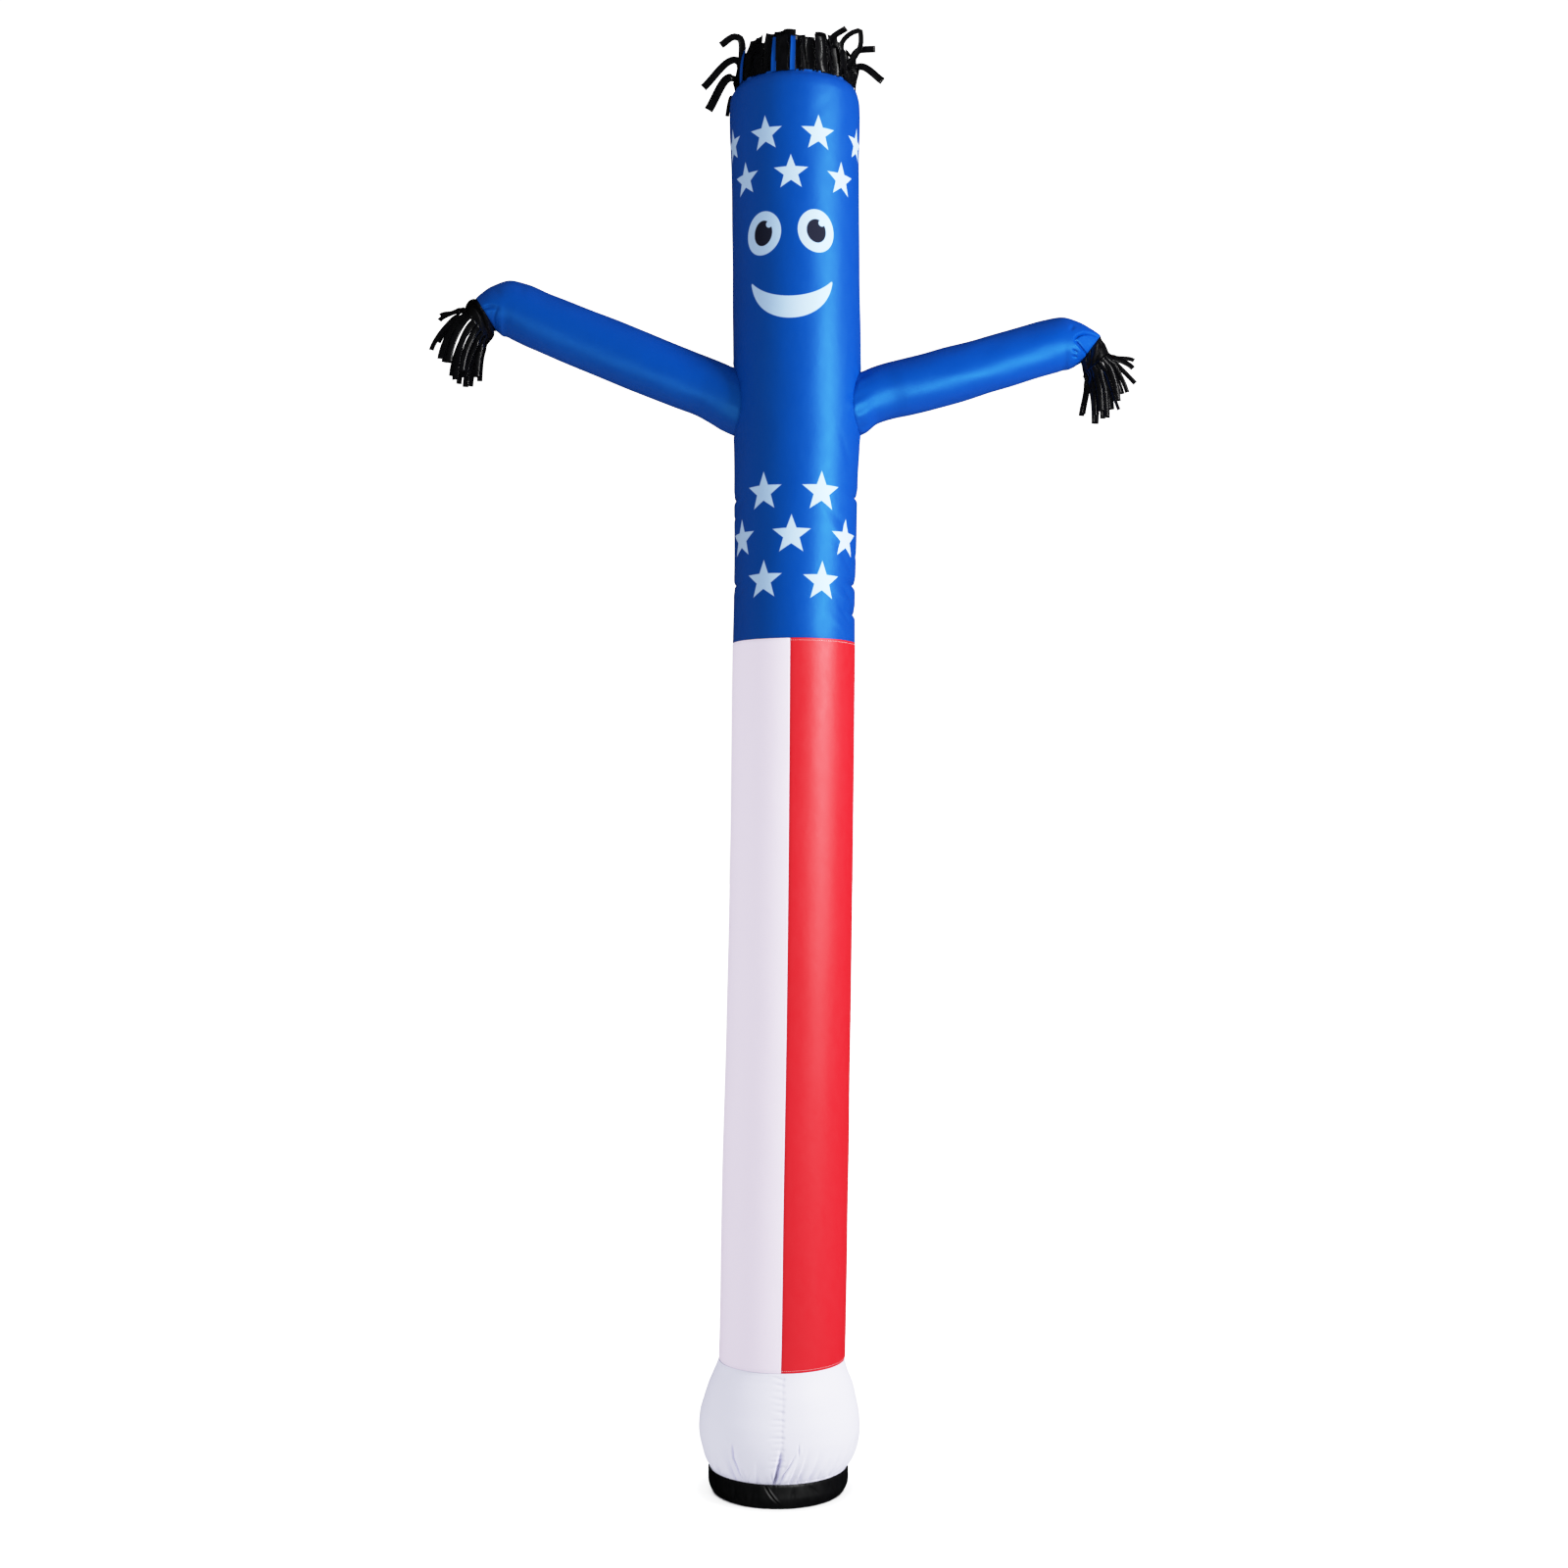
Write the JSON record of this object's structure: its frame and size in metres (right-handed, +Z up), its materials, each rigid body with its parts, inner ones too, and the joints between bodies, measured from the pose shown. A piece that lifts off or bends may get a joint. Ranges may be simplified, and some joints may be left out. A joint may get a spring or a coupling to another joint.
{
  "type": "inflatable air dancer",
  "caption": "Tall inflatable tube figure with raised arms, smiling face, star print, striped lower tube and strip fringes at the head and wrists; stands blown up on its outlet band.",
  "frame": {"origin": "centre of the foot ring, on the ground", "axes": "+Z up, front with the face towards -Y, the figure's left arm in the picture towards -X"},
  "size_m": [1.4859, 0.3454, 3.0402],
  "materials": {
    "blue_nylon": "coated nylon, low gloss",
    "white_nylon": "coated nylon, low gloss",
    "red_nylon": "coated nylon, low gloss",
    "black_vinyl": "black coated cloth, glossy"
  },
  "bodies": {
    "root": {"base_band": "black_vinyl", "base_left": "white_nylon", "base_right": "white_nylon", "stripe_white_front": "white_nylon", "stripe_red_front": "red_nylon", "stripe_white_back": "white_nylon", "stripe_red_back": "red_nylon", "body_upper": "blue_nylon", "arm_left": "blue_nylon", "arm_right": "blue_nylon", "cuff_left": "black_vinyl", "cuff_right": "black_vinyl", "fringe_left": "black_vinyl", "fringe_right": "black_vinyl", "hair_black": "black_vinyl", "hair_blue": "blue_nylon"}
  },
  "joints": []
}
